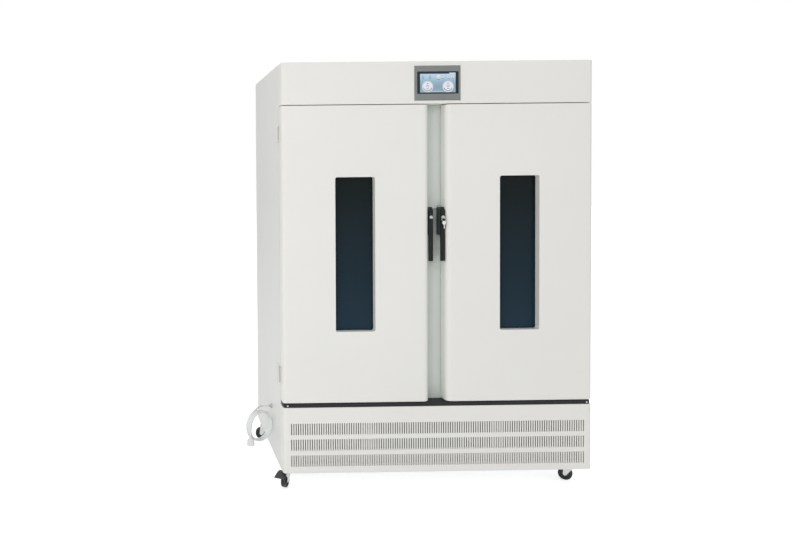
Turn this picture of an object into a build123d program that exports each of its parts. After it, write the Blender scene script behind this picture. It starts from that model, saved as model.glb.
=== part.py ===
from build123d import *
from math import cos, pi, radians, sin, tan
import os

os.makedirs("parts", exist_ok=True)

# Millimetres. X to the right, Y to the back, Z up. The origin is on the floor
# below the middle of the cabinet.

# Cabinet
body_width = 1410.0
body_depth = 880.0
overall_height = 1950.0
caster_height = 88.0
base_height = 300.0
header_height = 190.0
sheet = 1.5
fascia_edge_radius = 16.0
flange_width = 18.0

# Threshold between base and doors
threshold_height = 18.0
threshold_inset = 4.0

# Doors
door_gap = 3.0
door_thickness = 65.0
gasket_thickness = 8.0
gasket_width = 16.0
gasket_clearance = 0.3
meeting_half_gap = 38.0
meeting_edge_radius = 26.0
door_rim_radius = 4.0
liner_plug_depth = 25.0
liner_plug_clearance = 14.0
liner_plug_taper = 8.0

# Windows
window_width = 180.0
window_height = 700.0
window_offset = 1.5
window_corner_radius = 9.0
window_reveal = 40.0
glazing_lap = 12.0

# Chamber
wall_thickness = 62.0
ceiling_band = 45.0
mullion_half_width = 75.0
rear_wall_thickness = 78.0
frame_sheet = 2.0
insulation_rise = 68.0

# Base
tray_lip = 85.0
post_width = 65.0
post_depth = 40.0
post_left_x = -293.0
post_right_x = 313.0
post_setback = 12.0

# Front grille
slot_width = 4.0
slot_height = 52.0
slot_pitch = 10.5
slot_margin = 32.0
slot_rows = 3
slot_row_pitch = 72.5
slot_middle_row = 129.5

# Touch panel
bezel_width = 209.0
bezel_height = 157.0
bezel_thickness = 7.0
bezel_taper = 35.0
bezel_lift = 92.0
glass_width = 187.0
glass_height = 100.0
glass_drop = 1.5
glass_recess = 1.5
panel_case_depth = 42.0
panel_case_margin = 6.0

# Hinges
hinge_height = 72.0
hinge_upper_drop = 125.0
hinge_lower_rise = 118.0
hinge_leaf = 3.0
hinge_pin_radius = 3.5
hinge_knuckle_radius = 7.0
hinge_pin_offset = 9.0
hinge_door_leaf = 34.0
hinge_cabinet_leaf = 80.0
running_clearance = 0.05
end_clearance = 0.3

# Door handles
handle_drop = 464.0
handle_length = 245.0
housing_height = 126.0
housing_width = 22.0
housing_depth = 42.0
housing_front = 19.0
housing_slot = 8.0
housing_slot_height = 62.0
lever_width = 19.5
lever_thickness = 11.0
lever_gap = 0.5
lever_pivot_inset = 10.0
lever_tail_height = 7.0
lever_tail_drop = 3.0
lever_tail_clearance = 3.0
lever_trunnion_radius = 3.0
lever_foot_radius = 4.0
strike_width = 72.0
strike_height = 22.0
strike_nose = 8.0
strike_clearance = 3.5

# Key locks
lock_drop = 45.0
lock_radius = 5.5
lock_depth = 8.0
lock_head_radius = 7.0
lock_head = 1.5
lock_seat = 0.2
key_bow_radius = 8.0
key_thickness = 2.0
key_reach = 9.0

# Casters
caster_inset_x = 36.0
caster_inset_y = 100.0
caster_plate = 66.0
caster_plate_thickness = 3.0
caster_trail = 31.0
wheel_radius = 31.0
wheel_width = 22.0
axle_radius = 4.0
kingpin_radius = 6.0
kingpin_head_radius = 9.0
kingpin_head = 1.6
kingpin_head_gap = 1.0
crown_thickness = 3.0
crown_bottom = 75.0
race_radius = 22.0
race_gap = 0.4
leg_thickness = 2.5
leg_side_gap = 1.5
leg_end_radius = 9.0
caster_heading = {"fl": 238.0, "fr": 148.0, "rl": 172.0, "rr": 58.0}

# Caster brakes
pedal_pivot_x = 50.0
pedal_pivot_z = 69.0
pedal_pin_radius = 3.0
pedal_length = 56.0
pedal_width = 46.0
pedal_sheet = 2.5
pedal_drop = 14.0
pedal_cheek = 2.0
pedal_pad_length = 21.0

# Shelves
shelf_rises = [422.0, 842.0]
shelf_thickness = 8.0
shelf_rim = 16.0
shelf_bar = 6.0
shelf_bars = 12
shelf_depth = 560.0
shelf_side_gap = 1.5
rack_post = 16.0
rack_ledge = 12.0
rack_sheet = 2.0
rack_front_y = -318.0

# Air duct and fans
duct_side_gap = 53.0
duct_depth = 34.0
duct_floor_gap = 40.0
duct_ceiling_gap = 30.0
fan_x = 310.0
fan_drop = 170.0
fan_radius = 88.0
fan_hub_radius = 24.0
fan_hub_length = 18.0
fan_shaft_radius = 5.0
fan_blades = 5
fan_guard_ring = 5.0
intake_slots = 9
intake_pitch = 22.0
intake_width = 10.0
intake_length = 420.0

# Condensing unit
unit_x = 40.0
unit_width = 520.0
unit_depth = 420.0
unit_plate = 4.0
compressor_radius = 82.0
compressor_height = 190.0
condenser_width = 300.0
condenser_height = 230.0
condenser_depth = 66.0
condenser_fins = 14
fin_depth = 10.0

# Rear louvres
louvre_rows = 8
louvre_pitch = 24.0
louvre_length = 420.0
louvre_height = 6.0
louvre_bottom = 140.0

# Mains cord
cord_diameter = 8.5
gland_y = -98.0
gland_rise = 217.0
gland_flange_radius = 12.0
gland_flange = 4.0
gland_nose_radius = 8.5
gland_nose = 12.0
gland_hole_gap = 0.3
coil_radius = 70.0
coil_turns = 4
coil_pitch = 9.0
coil_center = Vector(-776.6, -172.0, 231.0)
coil_yaw = 35.0
plug_width = 34.0
plug_depth = 25.0
plug_length = 36.0
plug_nose = 14.0
plug_pin_length = 18.0
plug_pin_width = 6.0
plug_pin_thickness = 1.6

# The cord's route from the gland to the coil, and from the coil to the plug
lead_route = [
    (-721.0, -98.0, 305.0),
    (-741.0, -98.0, 305.0),
    (-762.6, -108.5, 306.0),
    (-779.8, -130.6, 305.0),
    (-793.9, -157.1, 301.0),
    (-813.0, -181.0, 291.6),
]
tail_route = [
    (-826.2, -223.3, 231.0),
    (-827.0, -224.5, 208.0),
    (-827.0, -224.5, 186.0),
]

# Worked out from the sizes above
half_width = body_width / 2
front_y = -body_depth / 2
back_y = body_depth / 2
door_back_y = front_y + door_thickness
face_y = door_back_y + gasket_thickness
base_top = caster_height + base_height
threshold_top = base_top + threshold_height
door_bottom = threshold_top + door_gap
header_bottom = overall_height - header_height
door_top = header_bottom - door_gap
inner_half_width = half_width - sheet
inner_back_y = back_y - sheet
opening_side = half_width - wall_thickness
opening_bottom = door_bottom + ceiling_band
opening_top = door_top - ceiling_band
chamber_back_y = back_y - rear_wall_thickness
tray_top = caster_height + frame_sheet
frame_back_y = face_y + frame_sheet
hinge_pin_x = half_width + hinge_pin_offset
hinge_pin_y = (door_back_y + face_y) / 2
hinge_upper_z = door_top - hinge_upper_drop
hinge_lower_z = door_bottom + hinge_lower_rise
bezel_center_z = header_bottom + bezel_lift
insulation_top = opening_top + insulation_rise
window_center_x = (half_width + meeting_half_gap) / 2 + window_offset
window_center_z = (door_bottom + door_top) / 2
handle_top = door_top - handle_drop
shelf_levels = [opening_bottom + rise for rise in shelf_rises]
duct_half_width = opening_side - duct_side_gap
gland_z = caster_height + gland_rise
slots_per_row = int((body_width - 2 * slot_margin) / slot_pitch)


def box(x0, x1, y0, y1, z0, z1, mode=Mode.ADD):
    """A block between two corners, standing on its own floor plane."""
    with BuildSketch(Plane.XY.offset(z0)) as floor:
        with Locations(((x0 + x1) / 2, (y0 + y1) / 2)):
            Rectangle(x1 - x0, y1 - y0)
    extrude(floor.sketch, amount=z1 - z0, mode=mode)


def finish(builder, name):
    """Label the solid and write its file."""
    builder.part.label = name
    export_step(builder.part, f"parts/{name}.step")


def fascia(z0, z1):
    """A rounded sheet cover, open at the back, with a flange round its rear edge."""
    with BuildSketch(Plane.XY.offset(z0)) as plan:
        with Locations((0, front_y)):
            Rectangle(body_width, face_y - front_y, align=(Align.CENTER, Align.MIN))
        fillet(plan.vertices().group_by(Axis.Y)[0], fascia_edge_radius)
    extrude(plan.sketch, amount=z1 - z0)
    rim = [e for e in edges().group_by(Axis.Y)[0] if e.length > body_width / 2]
    fillet(rim, sheet * 2)
    offset(amount=-sheet, openings=faces().sort_by(Axis.Y)[-1])
    with BuildSketch(Plane.XZ.offset(-(face_y - sheet))) as rear:
        with Locations((0, (z0 + z1) / 2)):
            Rectangle(body_width, z1 - z0)
            Rectangle(
                body_width - 2 * flange_width,
                z1 - z0 - 2 * flange_width,
                mode=Mode.SUBTRACT,
            )
    extrude(rear.sketch, amount=-sheet)


# Side panels: folded sheets with a flange along the rear edge
def side_panel(side, name):
    with BuildPart() as panel:
        with BuildSketch(Plane.XY.offset(caster_height)):
            with BuildLine():
                Polyline(
                    (side * half_width, face_y),
                    (side * half_width, back_y),
                    (side * (half_width - flange_width), back_y),
                    (side * (half_width - flange_width), inner_back_y),
                    (side * inner_half_width, inner_back_y),
                    (side * inner_half_width, face_y),
                    close=True,
                )
            make_face()
        extrude(amount=overall_height - sheet - caster_height)
        bend = panel.edges().filter_by(Axis.Z).group_by(Axis.Y)[-1]
        outer = bend.sort_by(Axis.X)[-1 if side > 0 else 0]
        fillet(outer, sheet * 1.5)
        if side < 0:
            with BuildSketch(Plane.YZ.offset(-half_width)):
                with Locations((gland_y, gland_z)):
                    Circle(gland_nose_radius)
            extrude(amount=sheet, mode=Mode.SUBTRACT)
    finish(panel, name)


side_panel(-1, "side_panel_left")
side_panel(1, "side_panel_right")

# Top panel with a downturned edge inside the side panels
with BuildPart() as top_panel:
    box(-half_width, half_width, face_y, back_y, overall_height - sheet, overall_height)
    with BuildSketch(Plane.XY.offset(overall_height - sheet)):
        with Locations((0, (frame_back_y + inner_back_y - sheet) / 2)):
            Rectangle(2 * inner_half_width, inner_back_y - sheet - frame_back_y)
            Rectangle(
                2 * (inner_half_width - sheet),
                inner_back_y - 3 * sheet - frame_back_y,
                mode=Mode.SUBTRACT,
            )
    extrude(amount=-flange_width)
finish(top_panel, "top_panel")

# Back panel with louvres for the base
with BuildPart() as back_panel:
    box(
        -inner_half_width,
        inner_half_width,
        inner_back_y - sheet,
        inner_back_y,
        caster_height,
        overall_height - sheet,
    )
    with BuildSketch(Plane.XZ.offset(-inner_back_y)):
        with Locations((0, louvre_bottom + (louvre_rows - 1) * louvre_pitch / 2)):
            with GridLocations(louvre_length * 1.2, louvre_pitch, 2, louvre_rows):
                Rectangle(louvre_length, louvre_height)
    extrude(amount=sheet, both=True, mode=Mode.SUBTRACT)
finish(back_panel, "back_panel")

# Face frame: the sealing face round both door openings, with the middle post
with BuildPart() as face_frame:
    with BuildSketch(Plane.XZ.offset(-face_y)):
        with Locations((0, (base_top + overall_height - sheet - flange_width) / 2)):
            Rectangle(
                2 * inner_half_width,
                overall_height - sheet - flange_width - base_top,
            )
        opening_width = opening_side - mullion_half_width
        opening_middle = (opening_side + mullion_half_width) / 2
        with Locations(
            (-opening_middle, (opening_bottom + opening_top) / 2),
            (opening_middle, (opening_bottom + opening_top) / 2),
        ):
            RectangleRounded(
                opening_width,
                opening_top - opening_bottom,
                window_corner_radius,
                mode=Mode.SUBTRACT,
            )
    extrude(amount=-frame_sheet)
    for side in (-1, 1):
        outer = side * inner_half_width
        inner = side * (inner_half_width - frame_sheet)
        box(
            min(outer, inner),
            max(outer, inner),
            frame_back_y,
            frame_back_y + flange_width,
            base_top,
            overall_height - sheet - flange_width,
        )
finish(face_frame, "face_frame")

# Chamber liner, open at the front, with the two fan shafts on its rear wall
fan_z = opening_top - fan_drop
with BuildPart() as liner:
    box(
        -opening_side - sheet,
        opening_side + sheet,
        frame_back_y,
        chamber_back_y + sheet,
        opening_bottom - sheet,
        opening_top + sheet,
    )
    offset(amount=-sheet, openings=liner.faces().sort_by(Axis.Y)[0])
    with BuildSketch(Plane.XZ.offset(-chamber_back_y)):
        with Locations((-fan_x, fan_z), (fan_x, fan_z)):
            Circle(fan_shaft_radius)
    extrude(amount=duct_depth - sheet - 2)
    with BuildSketch(Plane.XZ.offset(-chamber_back_y)):
        with Locations((-fan_x, fan_z), (fan_x, fan_z)):
            Circle(fan_hub_radius)
    extrude(amount=(duct_depth - sheet - fan_hub_length) / 2)
finish(liner, "chamber_liner")

# Foam between the liner and the outer sheets
with BuildPart() as insulation:
    box(
        -inner_half_width + frame_sheet,
        inner_half_width - frame_sheet,
        frame_back_y,
        inner_back_y - sheet,
        tray_top + base_height,
        insulation_top,
    )
    box(
        -opening_side - sheet,
        opening_side + sheet,
        frame_back_y,
        chamber_back_y + sheet,
        opening_bottom - sheet,
        opening_top + sheet,
        mode=Mode.SUBTRACT,
    )
finish(insulation, "insulation")

# Header cover with the cut-out for the touch panel
case_width = glass_width + 2 * panel_case_margin
case_height = glass_height + 2 * panel_case_margin
with BuildPart() as header_panel:
    fascia(header_bottom, overall_height)
    box(
        -case_width / 2,
        case_width / 2,
        front_y - 1,
        front_y + 2 * sheet,
        bezel_center_z - case_height / 2,
        bezel_center_z + case_height / 2,
        mode=Mode.SUBTRACT,
    )
finish(header_panel, "header_panel")

# Touch panel: case, chamfered bezel and the glass let into it
with BuildPart() as touch_bezel:
    with BuildSketch(Plane.XZ.offset(-front_y)):
        with Locations((0, bezel_center_z)):
            Rectangle(bezel_width, bezel_height)
    extrude(amount=bezel_thickness, taper=bezel_taper)
    with BuildSketch(Plane.XZ.offset(-front_y)):
        with Locations((0, bezel_center_z)):
            Rectangle(case_width - 1, case_height - 1)
    extrude(amount=-panel_case_depth)
    with BuildSketch(Plane.XZ.offset(-(front_y - bezel_thickness))):
        with Locations((0, bezel_center_z + glass_drop)):
            RectangleRounded(glass_width, glass_height, 2)
    extrude(amount=-glass_recess - 3, mode=Mode.SUBTRACT)
finish(touch_bezel, "touch_bezel")

with BuildPart() as touch_glass:
    with BuildSketch(Plane.XZ.offset(-(front_y - bezel_thickness + glass_recess))):
        with Locations((0, bezel_center_z + glass_drop)):
            RectangleRounded(glass_width - 0.4, glass_height - 0.4, 2)
    extrude(amount=-3)
finish(touch_glass, "touch_glass")

# Base cover with the three rows of upright slots
grille_width = (slots_per_row + 1) * slot_pitch
grille_height = slot_rows * slot_row_pitch
with BuildPart() as base_front:
    fascia(caster_height, base_top)
    with BuildSketch(Plane.XZ.offset(-front_y)):
        with Locations((0, caster_height + slot_middle_row)):
            Rectangle(grille_width, grille_height)
    extrude(amount=-2 * sheet, mode=Mode.SUBTRACT)
    with BuildSketch(Plane.XZ.offset(-front_y)):
        with Locations((0, caster_height + slot_middle_row)):
            Rectangle(grille_width, grille_height)
            with GridLocations(slot_pitch, slot_row_pitch, slots_per_row, slot_rows):
                Rectangle(slot_width, slot_height, mode=Mode.SUBTRACT)
    extrude(amount=-sheet)
finish(base_front, "base_front")

# Threshold: a dark rail that fills the step between the base and the doors
with BuildPart() as threshold:
    with BuildSketch(Plane.XY.offset(base_top)) as rail:
        with Locations((0, front_y + threshold_inset)):
            Rectangle(
                body_width - 2 * threshold_inset,
                face_y - front_y - threshold_inset,
                align=(Align.CENTER, Align.MIN),
            )
        fillet(rail.vertices().group_by(Axis.Y)[0], fascia_edge_radius)
    extrude(amount=threshold_height)
    chamfer(threshold.faces().sort_by(Axis.Z)[-1].edges().group_by(Axis.Y)[0], 3)
    offset(amount=-2 * sheet, openings=threshold.faces().sort_by(Axis.Z)[0])
finish(threshold, "threshold_rail")

# Base frame: tray, posts and the four caster plates, bored for the casters' kingpins
caster_x = half_width - caster_inset_x
caster_front_y = front_y + caster_inset_y
caster_back_y = back_y - caster_inset_y
caster_spots = {
    "fl": (-caster_x, caster_front_y),
    "fr": (caster_x, caster_front_y),
    "rl": (-caster_x, caster_back_y),
    "rr": (caster_x, caster_back_y),
}
plate_bottom = caster_height - caster_plate_thickness
with BuildPart() as base_frame:
    box(
        -inner_half_width,
        inner_half_width,
        face_y,
        inner_back_y - sheet,
        caster_height,
        caster_height + tray_lip,
    )
    offset(amount=-frame_sheet, openings=base_frame.faces().sort_by(Axis.Z)[-1])
    for post_x in (post_left_x, post_right_x):
        box(
            post_x - post_width / 2,
            post_x + post_width / 2,
            face_y + post_setback,
            face_y + post_setback + post_depth,
            tray_top,
            tray_top + base_height,
        )
        box(
            post_x - post_width / 2,
            post_x + post_width / 2,
            caster_back_y,
            caster_back_y + post_depth,
            tray_top,
            tray_top + base_height,
        )
    for x, y in caster_spots.values():
        box(
            x - caster_plate / 2,
            x + caster_plate / 2,
            y - caster_plate / 2,
            y + caster_plate / 2,
            plate_bottom,
            caster_height,
        )
    with BuildSketch(Plane.XY.offset(plate_bottom)):
        with Locations(*caster_spots.values()):
            Circle(kingpin_radius + running_clearance)
    extrude(amount=caster_plate_thickness, mode=Mode.SUBTRACT)
    with BuildSketch(Plane.XY.offset(caster_height)):
        with Locations(*caster_spots.values()):
            Circle(kingpin_head_radius + kingpin_head_gap)
    extrude(amount=frame_sheet, mode=Mode.SUBTRACT)
finish(base_frame, "base_frame")


# Condensing unit: plate, hermetic compressor and a finned condenser
with BuildPart() as condensing_unit:
    unit_front = face_y + 90
    unit_top = tray_top + unit_plate
    box(
        unit_x - unit_width / 2,
        unit_x + unit_width / 2,
        unit_front,
        unit_front + unit_depth,
        tray_top,
        unit_top,
    )
    box(
        unit_x - unit_width / 2,
        unit_x - unit_width / 2 + condenser_width,
        unit_front,
        unit_front + condenser_depth,
        unit_top,
        unit_top + condenser_height,
    )
    with BuildSketch(Plane.XY.offset(unit_top)):
        with Locations(
            (unit_x - unit_width / 2 + condenser_width / 2, unit_front + fin_depth / 2)
        ):
            with GridLocations(condenser_width / condenser_fins, 0, condenser_fins, 1):
                Rectangle(condenser_width / condenser_fins / 2, fin_depth)
    extrude(amount=condenser_height, mode=Mode.SUBTRACT)
    with BuildSketch(Plane.XY.offset(unit_top)):
        with Locations((unit_x + unit_width / 4, unit_front + unit_depth / 2)):
            Circle(compressor_radius)
    can = extrude(amount=compressor_height)
    fillet(can.edges().group_by(Axis.Z)[-1], compressor_radius / 3)
finish(condensing_unit, "condensing_unit")


# Doors: formed sheet shells with the rounded meeting edge and the window reveal
def door_shell(side, name):
    middle = side * (half_width + meeting_half_gap) / 2
    window_x = side * window_center_x
    with BuildPart() as shell:
        with BuildSketch(Plane.XY.offset(door_bottom)) as plan:
            with Locations((middle, (front_y + door_back_y) / 2)):
                Rectangle(half_width - meeting_half_gap, door_thickness)
            outer = 0 if side < 0 else -1
            fillet(plan.vertices().group_by(Axis.Y)[0].sort_by(Axis.X)[outer], fascia_edge_radius)
            inner = -1 if side < 0 else 0
            fillet(plan.vertices().group_by(Axis.Y)[0].sort_by(Axis.X)[inner], meeting_edge_radius)
        extrude(amount=door_top - door_bottom)
        ends = shell.faces().filter_by(Axis.Z)
        rim = [e for f in ends for e in f.edges() if e.center().Y < door_back_y - 1]
        fillet(rim, door_rim_radius)
        offset(amount=-sheet, openings=shell.faces().sort_by(Axis.Y)[-1])
        with BuildSketch(Plane.XZ.offset(-front_y)):
            with Locations((window_x, window_center_z)):
                RectangleRounded(
                    window_width + 2 * sheet,
                    window_height + 2 * sheet,
                    window_corner_radius + sheet,
                )
        extrude(amount=-window_reveal)
        with BuildSketch(Plane.XZ.offset(-(front_y + window_reveal - sheet))):
            with Locations((window_x, window_center_z)):
                Rectangle(window_width + 2 * glazing_lap, window_height + 2 * glazing_lap)
        extrude(amount=-sheet)
        with BuildSketch(Plane.XZ.offset(-front_y)):
            with Locations((window_x, window_center_z)):
                RectangleRounded(window_width, window_height, window_corner_radius)
        extrude(amount=-window_reveal, mode=Mode.SUBTRACT)
    finish(shell, name)


def door_liner(side, name):
    """The door's inner sheet: its raised plug goes into the chamber's mouth."""
    inner_x = side * (meeting_half_gap + sheet)
    outer_x = side * (half_width - sheet)
    plug_inner = mullion_half_width + liner_plug_clearance
    plug_outer = opening_side - liner_plug_clearance
    plug_height = opening_top - opening_bottom - 2 * liner_plug_clearance
    plug_middle = (side * (plug_inner + plug_outer) / 2, (opening_bottom + opening_top) / 2)
    window = (side * window_center_x, window_center_z)
    with BuildPart() as liner:
        with BuildSketch(Plane.XZ.offset(-door_back_y)):
            with Locations(((inner_x + outer_x) / 2, (door_bottom + door_top) / 2)):
                RectangleRounded(
                    abs(outer_x - inner_x),
                    door_top - door_bottom - 2 * sheet,
                    door_rim_radius - sheet,
                )
        extrude(amount=sheet)
        with BuildSketch(Plane.XZ.offset(-door_back_y)):
            with Locations(plug_middle):
                Rectangle(plug_outer - plug_inner, plug_height)
        extrude(amount=-liner_plug_depth, taper=liner_plug_taper)
        with BuildSketch(Plane.XZ.offset(-(door_back_y - sheet))):
            with Locations(plug_middle):
                Rectangle(plug_outer - plug_inner - 2 * sheet, plug_height - 2 * sheet)
        extrude(amount=-liner_plug_depth, taper=liner_plug_taper, mode=Mode.SUBTRACT)
        with BuildSketch(Plane.XZ.offset(-(door_back_y - sheet))):
            with Locations(window):
                Rectangle(window_width + 4 * sheet, window_height + 4 * sheet)
        extrude(amount=-(liner_plug_depth + sheet / 2))
        with BuildSketch(Plane.XZ.offset(-(door_back_y - sheet))):
            with Locations(window):
                RectangleRounded(window_width, window_height, window_corner_radius)
        extrude(amount=-(liner_plug_depth + 2 * sheet), mode=Mode.SUBTRACT)
    finish(liner, name)


def door_gasket(side, name):
    lap = gasket_width + 6
    width = opening_side - mullion_half_width
    height = opening_top - opening_bottom
    middle = (
        side * (opening_side + mullion_half_width) / 2,
        (opening_bottom + opening_top) / 2,
    )
    with BuildPart() as gasket:
        with BuildSketch(Plane.XZ.offset(-door_back_y)):
            with Locations(middle):
                Rectangle(width + 2 * lap, height + 2 * lap)
                Rectangle(
                    width + 2 * (lap - gasket_width),
                    height + 2 * (lap - gasket_width),
                    mode=Mode.SUBTRACT,
                )
        extrude(amount=-(gasket_thickness - gasket_clearance))
        chamfer(gasket.faces().sort_by(Axis.Y)[-1].edges(), gasket_width / 6)
    finish(gasket, name)


def door_glazing(side, name):
    """The sealed pane between the shell's reveal and the inner sheet."""
    with BuildPart() as glazing:
        with BuildSketch(Plane.XZ.offset(-(front_y + window_reveal))):
            with Locations((side * window_center_x, window_center_z)):
                Rectangle(window_width + 2 * glazing_lap, window_height + 2 * glazing_lap)
        extrude(amount=-(door_thickness - window_reveal - sheet))
    finish(glazing, name)


# Handles on the meeting edges
pivot_y = front_y + housing_front + lever_pivot_inset
pivot_z = handle_top - lever_pivot_inset
housing_rear_y = front_y + housing_front + housing_depth
lever_x = meeting_half_gap - housing_width / 2
lever_back_y = front_y + housing_front - lever_gap
lever_front_y = lever_back_y - lever_thickness
lock_z = handle_top - lock_drop
tail_top = pivot_z - lever_tail_drop


def handle_housing(side, name):
    left = side * lever_x - housing_width / 2
    with BuildPart() as housing:
        with BuildSketch(Plane.YZ.offset(left)) as profile:
            with Locations((pivot_y - lever_pivot_inset, handle_top)):
                Rectangle(housing_depth, housing_height, align=(Align.MIN, Align.MAX))
            top_front = profile.vertices().group_by(Axis.Y)[-1].sort_by(Axis.X)[0]
            fillet(top_front, lever_pivot_inset)
            fillet(profile.vertices().group_by(Axis.Y)[0], lever_foot_radius)
        extrude(amount=housing_width)
        box(
            side * lever_x - housing_slot / 2,
            side * lever_x + housing_slot / 2,
            pivot_y - 2 * lever_pivot_inset,
            housing_rear_y + 1,
            handle_top - housing_slot_height,
            handle_top + 1,
            mode=Mode.SUBTRACT,
        )
        with BuildSketch(Plane.YZ.offset(left)):
            with Locations((pivot_y, pivot_z)):
                Circle(lever_trunnion_radius + running_clearance)
        extrude(amount=housing_width, mode=Mode.SUBTRACT)
    finish(housing, name)


def pull_lever(side, name):
    """The long grip, the eye that turns in the housing and the tail below the strike."""
    middle = side * lever_x
    foot = handle_top - handle_length
    eye_radius = lever_pivot_inset - 2
    arm_width = housing_slot - 2 * end_clearance
    tail_y = face_y - lever_tail_clearance
    with BuildPart() as lever:
        with BuildSketch(Plane.YZ.offset(middle - lever_width / 2)) as grip:
            with Locations((lever_front_y, foot)):
                Rectangle(lever_thickness, pivot_z - foot, align=(Align.MIN, Align.MIN))
            fillet(grip.vertices().group_by(Axis.Y)[0], lever_foot_radius)
            top_front = grip.vertices().group_by(Axis.Y)[-1].sort_by(Axis.X)[0]
            fillet(top_front, lever_foot_radius)
        extrude(amount=lever_width)
        front = [e for e in lever.edges().filter_by(Axis.Z) if e.center().Y < lever_front_y + 1]
        fillet(front, lever_foot_radius / 2)
        with BuildSketch(Plane.YZ.offset(middle - arm_width / 2)):
            with Locations((pivot_y, pivot_z)):
                Circle(eye_radius)
            with Locations((lever_back_y - 1, pivot_z)):
                Rectangle(
                    pivot_y - lever_back_y + 1, eye_radius, align=(Align.MIN, Align.MAX)
                )
            with Locations((pivot_y, tail_top)):
                Rectangle(
                    tail_y - pivot_y, lever_tail_height, align=(Align.MIN, Align.MAX)
                )
        extrude(amount=arm_width)
        with BuildSketch(Plane.YZ.offset(middle)):
            with Locations((pivot_y, pivot_z)):
                Circle(lever_trunnion_radius)
        extrude(amount=housing_width / 2 - lever_gap, both=True)
        with BuildSketch(Plane.XZ.offset(-lever_front_y)):
            with Locations((middle, lock_z)):
                Circle(lock_radius + running_clearance)
        extrude(amount=-lock_depth, mode=Mode.SUBTRACT)
    finish(lever, name)


def key_lock(side, name):
    """The lock's turning plug with its key in it."""
    middle = side * lever_x
    head_front = lever_front_y - lock_seat - lock_head
    with BuildPart() as lock:
        with BuildSketch(Plane.XZ.offset(-(lever_front_y + lock_depth - lock_seat))):
            with Locations((middle, lock_z)):
                Circle(lock_radius)
        extrude(amount=lock_depth)
        with BuildSketch(Plane.XZ.offset(-(lever_front_y - lock_seat))):
            with Locations((middle, lock_z)):
                Circle(lock_head_radius)
        extrude(amount=lock_head)
        with BuildSketch(Plane.YZ.offset(middle - key_thickness / 2)):
            with Locations((head_front - key_reach, lock_z)):
                Circle(key_bow_radius)
                Circle(key_bow_radius / 3, mode=Mode.SUBTRACT)
            with Locations((head_front, lock_z)):
                Rectangle(2, key_bow_radius, align=(Align.MAX, Align.CENTER))
        extrude(amount=key_thickness)
    finish(lock, name)


# One strike plate on the middle post takes the tails of both levers
with BuildPart() as latch_strike:
    strike_low = tail_top + strike_clearance
    with BuildSketch(Plane.XZ.offset(-face_y)):
        with Locations((0, strike_low)):
            RectangleRounded(
                strike_width, strike_height, 3, align=(Align.CENTER, Align.MIN)
            )
    extrude(amount=lever_tail_clearance - 1)
    box(
        -strike_width / 2,
        strike_width / 2,
        housing_rear_y + lever_gap,
        face_y,
        strike_low,
        strike_low + strike_nose,
    )
    chamfer(latch_strike.edges().filter_by(Axis.X).group_by(Axis.Y)[0], 2)
finish(latch_strike, "latch_strike")


# Hinges on the outsides: a cabinet half with the pin, and a door half between its knuckles
def hinge(side, z, level):
    end_height = hinge_height / 3
    low = z - hinge_height / 2
    pin_x = side * hinge_pin_x
    leaf_x = side * (half_width + hinge_leaf / 2)
    swing = hinge_knuckle_radius + 2 * end_clearance
    side_name = "left" if side < 0 else "right"
    with BuildPart() as cabinet_half:
        with BuildSketch(Plane.XY.offset(low)):
            with Locations((leaf_x, hinge_pin_y)):
                Rectangle(hinge_leaf, hinge_cabinet_leaf, align=(Align.CENTER, Align.MIN))
            with Locations((pin_x, hinge_pin_y)):
                Circle(hinge_knuckle_radius)
        extrude(amount=hinge_height)
        with BuildSketch(Plane.XY.offset(low + end_height)):
            with Locations((pin_x, hinge_pin_y)):
                Circle(swing)
        extrude(amount=end_height, mode=Mode.SUBTRACT)
        with BuildSketch(Plane.XY.offset(low)):
            with Locations((pin_x, hinge_pin_y)):
                Circle(hinge_pin_radius)
        extrude(amount=hinge_height)
    finish(cabinet_half, f"hinge_cabinet_{side_name}_{level}")
    with BuildPart() as door_half:
        with BuildSketch(Plane.XY.offset(low)):
            with Locations((leaf_x, hinge_pin_y)):
                Rectangle(hinge_leaf, hinge_door_leaf, align=(Align.CENTER, Align.MAX))
        extrude(amount=hinge_height)
        with BuildSketch(Plane.XY.offset(low)):
            with Locations((pin_x, hinge_pin_y)):
                Circle(swing)
        extrude(amount=hinge_height, mode=Mode.SUBTRACT)
        with BuildSketch(Plane.XY.offset(low + end_height + end_clearance)):
            with Locations((leaf_x, hinge_pin_y)):
                Rectangle(hinge_leaf, hinge_pin_offset, align=(Align.CENTER, Align.MAX))
            with Locations((pin_x, hinge_pin_y)):
                Circle(hinge_knuckle_radius)
                Circle(hinge_pin_radius + running_clearance, mode=Mode.SUBTRACT)
        extrude(amount=end_height - 2 * end_clearance)
    finish(door_half, f"hinge_door_{side_name}_{level}")


for side, side_name in ((-1, "left"), (1, "right")):
    door_shell(side, f"door_{side_name}_shell")
    door_liner(side, f"door_{side_name}_liner")
    door_gasket(side, f"door_{side_name}_gasket")
    door_glazing(side, f"door_{side_name}_glazing")
    handle_housing(side, f"handle_{side_name}_housing")
    pull_lever(side, f"handle_{side_name}_lever")
    key_lock(side, f"handle_{side_name}_lock")
    hinge(side, hinge_upper_z, "upper")
    hinge(side, hinge_lower_z, "lower")


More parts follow.
